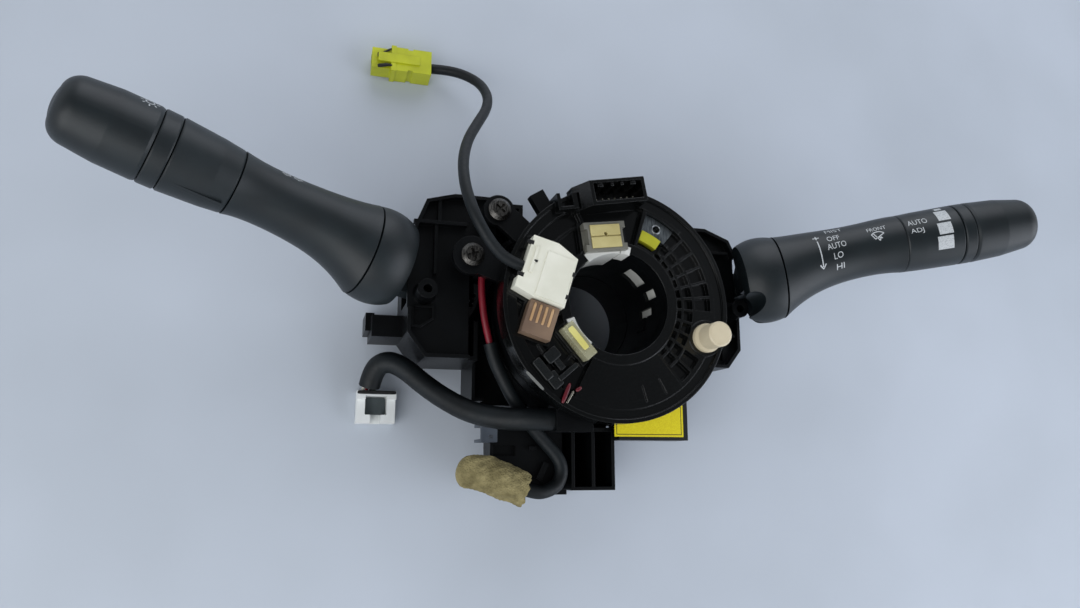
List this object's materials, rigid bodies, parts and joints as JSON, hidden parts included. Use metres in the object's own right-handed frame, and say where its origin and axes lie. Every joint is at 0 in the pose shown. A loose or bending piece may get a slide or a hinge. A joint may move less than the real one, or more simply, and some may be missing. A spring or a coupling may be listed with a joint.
{
  "type": "column switch assembly with steering angle sensor",
  "caption": "Steering column switch assembly with light and wiper stalks, a turning spiral cable rotor and a steering angle sensor.",
  "frame": {"origin": "centre of the steering column bore on the back rest plane", "axes": "+Z along the steering axis towards the driver, +Y up in the car, +X towards the wiper stalk"},
  "size_m": [0.4323, 0.227, 0.1073],
  "materials": {
    "base_plastic": "fine-textured black glass-filled plastic",
    "stalk_plastic": "satin black plastic with a faint blue sheen",
    "rotor_plastic": "smooth black plastic",
    "sensor_plastic": "black plastic",
    "white_plastic": "natural white plastic",
    "ivory_plastic": "ivory plastic",
    "tan_plastic": "tan plastic",
    "clear_plastic": "milky translucent plastic",
    "grey_plastic": "grey plastic",
    "light_grey_plastic": "light grey plastic",
    "yellow_plastic": "yellow-green plastic",
    "label_paper": "bare yellow label stock",
    "board_green": "solder-masked circuit board",
    "gear_plastic": "natural acetal",
    "magnet_dark": "sintered magnet",
    "zinc_steel": "dark zinc-plated steel",
    "spring_steel": "bright spring wire",
    "plate_steel": "stamped steel",
    "ribbon_film": "flat cable in amber film",
    "cable_sleeve": "black vinyl sleeve",
    "wire_red": "red vinyl wire",
    "wire_mixed": "coloured vinyl wires",
    "foam": "beige foam tape"
  },
  "bodies": {
    "base": {"base_housing": "base_plastic", "left_case_cover": "base_plastic", "right_case_cover": "base_plastic", "stator_housing": "base_plastic", "connector_bracket": "base_plastic", "sensor_housing": "sensor_plastic", "sensor_cover": "sensor_plastic", "harness_plug": "white_plastic", "left_detent_track": "white_plastic", "right_detent_track": "white_plastic", "bracket_clip": "light_grey_plastic", "sensor_label": "label_paper", "sensor_board": "board_green", "left_contact_board": "board_green", "right_contact_board": "board_green", "case_screws": "zinc_steel", "ribbon_coil": "ribbon_film", "harness_sleeve": "cable_sleeve", "horn_lead": "cable_sleeve", "earth_wire": "wire_red", "harness_wires": "wire_mixed", "foam_wrap": "foam"},
    "rotor": {"rotor": "rotor_plastic", "hub_sleeve": "base_plastic", "core_ring": "white_plastic", "hub_gear": "gear_plastic", "drive_pin": "ivory_plastic", "squib_plug": "white_plastic", "tan_connector": "tan_plastic", "clear_connector": "clear_plastic", "upper_socket": "grey_plastic", "socket_insert": "tan_plastic", "window_plate": "plate_steel", "window_block": "yellow_plastic", "squib_lead": "cable_sleeve", "squib_connector": "yellow_plastic"},
    "gear_a": {"measuring_gear_a": "gear_plastic", "magnet_a": "magnet_dark"},
    "gear_b": {"measuring_gear_b": "gear_plastic", "magnet_b": "magnet_dark"},
    "left_carrier": {"left_carrier": "base_plastic", "left_detent_spring": "spring_steel"},
    "left_plunger": {"left_detent_plunger": "white_plastic"},
    "left_lever": {"left_lever_arm": "stalk_plastic", "left_lever_shell": "stalk_plastic", "left_index_band": "stalk_plastic"},
    "left_ring": {"left_ring": "stalk_plastic"},
    "left_knob": {"left_knob": "stalk_plastic"},
    "right_carrier": {"right_carrier": "base_plastic", "right_detent_spring": "spring_steel"},
    "right_plunger": {"right_detent_plunger": "white_plastic"},
    "right_lever": {"right_lever_arm": "stalk_plastic", "right_lever_shell": "stalk_plastic", "right_index_band": "stalk_plastic"},
    "right_ring": {"right_ring": "stalk_plastic"},
    "right_knob": {"right_knob": "stalk_plastic"}
  },
  "joints": [
    {"name": "rotor_turn", "type": "hinge", "parent": "base", "child": "rotor", "pos_m": [0, 0, 0.066], "axis": [0, 0, 1], "range_deg": [-900, 900], "deforming": ["squib_lead"]},
    {"name": "gear_a_turn", "type": "hinge", "parent": "base", "child": "gear_a", "pos_m": [0.03225, -0.02519, 0.029], "axis": [0, 0, 1], "range_deg": [-2501, 2501]},
    {"name": "gear_b_turn", "type": "hinge", "parent": "base", "child": "gear_b", "pos_m": [0.01111, -0.03876, 0.029], "axis": [0, 0, 1], "range_deg": [-2648, 2648]},
    {"name": "turn_signal", "type": "hinge", "parent": "base", "child": "left_carrier", "pos_m": [-0.076, 0.0095, 0.028], "axis": [0, 0, 1], "range_deg": [-8, 8]},
    {"name": "flash_and_beam", "type": "hinge", "parent": "left_carrier", "child": "left_lever", "pos_m": [-0.076, 0.0095, 0.028], "axis": [0.267, 0.9637, 0], "range_deg": [-5, 6], "stiffness_Nm_per_rad": 8},
    {"name": "fog_ring_turn", "type": "hinge", "parent": "left_lever", "child": "left_ring", "pos_m": [-0.1098, 0.0235, 0.0532], "axis": [-0.9066, 0.2512, 0.3392], "range_deg": [0, 30]},
    {"name": "light_knob_turn", "type": "hinge", "parent": "left_lever", "child": "left_knob", "pos_m": [-0.1098, 0.0235, 0.0532], "axis": [-0.9066, 0.2512, 0.3392], "range_deg": [0, 50]},
    {"name": "wiper_select", "type": "hinge", "parent": "base", "child": "right_carrier", "pos_m": [0.066, 0.0158, 0.028], "axis": [0, 0, 1], "range_deg": [-12, 5]},
    {"name": "washer_pull", "type": "hinge", "parent": "right_carrier", "child": "right_lever", "pos_m": [0.066, 0.0158, 0.028], "axis": [0.1663, -0.9861, 0], "range_deg": [0, 6], "stiffness_Nm_per_rad": 8},
    {"name": "interval_ring_turn", "type": "hinge", "parent": "right_lever", "child": "right_ring", "pos_m": [0.088, 0.0268, 0.0558], "axis": [0.9312, 0.157, 0.3291], "range_deg": [-40, 40]},
    {"name": "rear_knob_turn", "type": "hinge", "parent": "right_lever", "child": "right_knob", "pos_m": [0.088, 0.0268, 0.0558], "axis": [0.9312, 0.157, 0.3291], "range_deg": [0, 40]},
    {"name": "left_detent_slide", "type": "slide", "parent": "left_carrier", "child": "left_plunger", "axis": [-0.9637, 0.267, 0], "range_m": [0, 0.0012], "stiffness_N_per_m": 800, "springref_m": -0.001, "deforming": ["left_detent_spring"]},
    {"name": "right_detent_slide", "type": "slide", "parent": "right_carrier", "child": "right_plunger", "axis": [0.9861, 0.1663, 0], "range_m": [0, 0.0012], "stiffness_N_per_m": 800, "springref_m": -0.001, "deforming": ["right_detent_spring"]}
  ],
  "couplings": [
    {"joint": "gear_a_turn", "follows": "rotor_turn", "ratio": -2.7778},
    {"joint": "gear_b_turn", "follows": "rotor_turn", "ratio": -2.9412}
  ]
}
